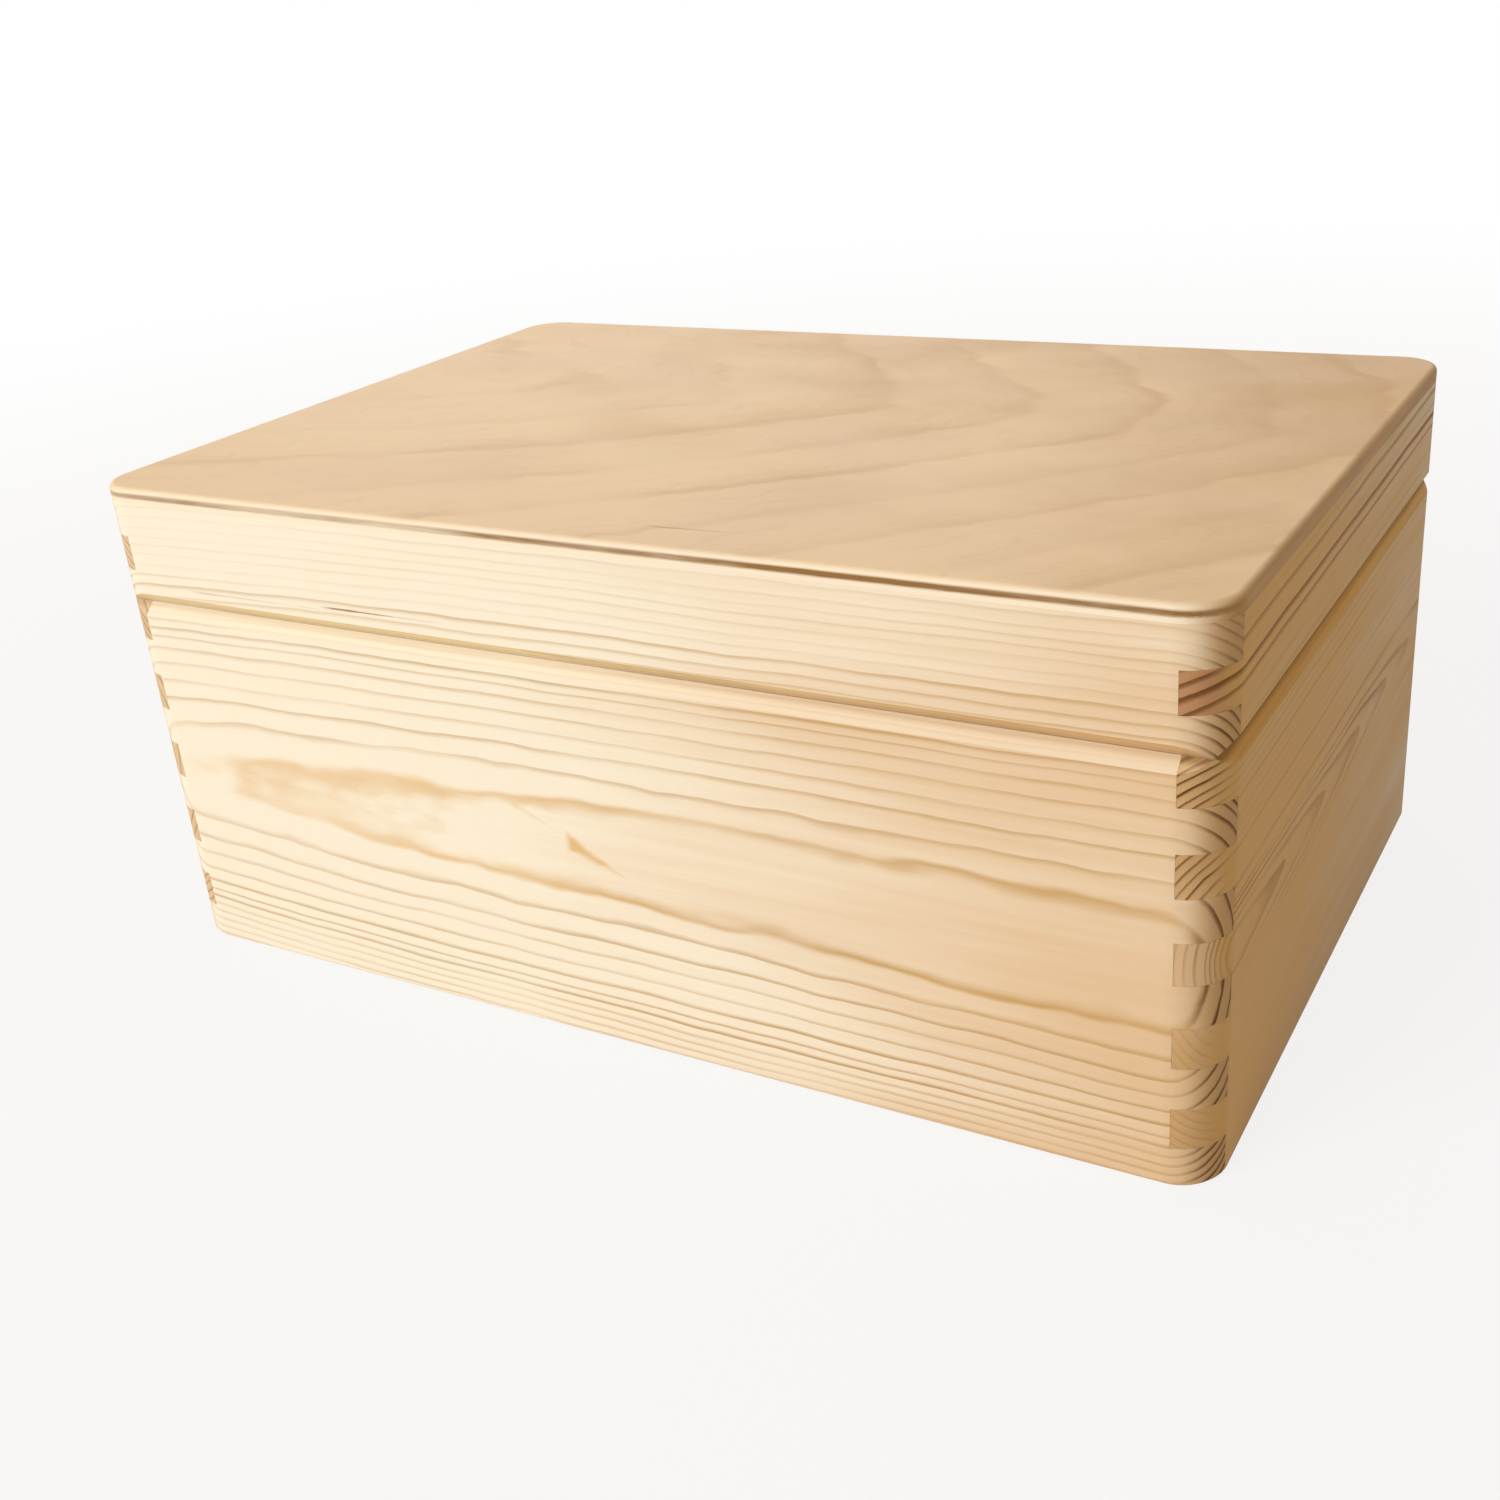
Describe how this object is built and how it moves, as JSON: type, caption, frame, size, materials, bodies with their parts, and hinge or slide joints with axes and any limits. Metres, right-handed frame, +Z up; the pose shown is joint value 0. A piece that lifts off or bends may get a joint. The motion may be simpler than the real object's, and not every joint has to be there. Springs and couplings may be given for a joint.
{
  "type": "hinged wooden box",
  "caption": "Hinged pine keepsake box with finger-jointed rounded corners, a plywood lid top and a V-groove along the parting line, for papers and small things.",
  "frame": {"origin": "middle of the footprint, on the surface that the box stands on", "axes": "+Z up, +X along the long side to the right as seen from the front, the front is at -Y and the hinges are at +Y"},
  "size_m": [0.3, 0.2, 0.134],
  "materials": {
    "pine": "sanded bare pine, fine growth lines",
    "birch_plywood": "sanded bare birch plywood",
    "hinge_brass": "plated, satin",
    "screw_brass": "plated, bright"
  },
  "bodies": {
    "body": {"body_front_board": "pine", "body_back_board": "pine", "body_left_board": "pine", "body_right_board": "pine", "bottom_panel": "birch_plywood", "left_hinge_body_leaf": "hinge_brass", "left_hinge_pin": "hinge_brass", "right_hinge_body_leaf": "hinge_brass", "right_hinge_pin": "hinge_brass", "hinge_screws_body": "screw_brass"},
    "lid": {"lid_front_rail": "pine", "lid_back_rail": "pine", "lid_left_rail": "pine", "lid_right_rail": "pine", "lid_top_panel": "birch_plywood", "left_hinge_lid_leaf": "hinge_brass", "right_hinge_lid_leaf": "hinge_brass", "hinge_screws_lid": "screw_brass"}
  },
  "joints": [
    {"name": "lid_hinge", "type": "hinge", "parent": "body", "child": "lid", "pos_m": [0, 0.0975, 0.1019], "axis": [-1, 0, 0], "range_deg": [0, 98]}
  ]
}
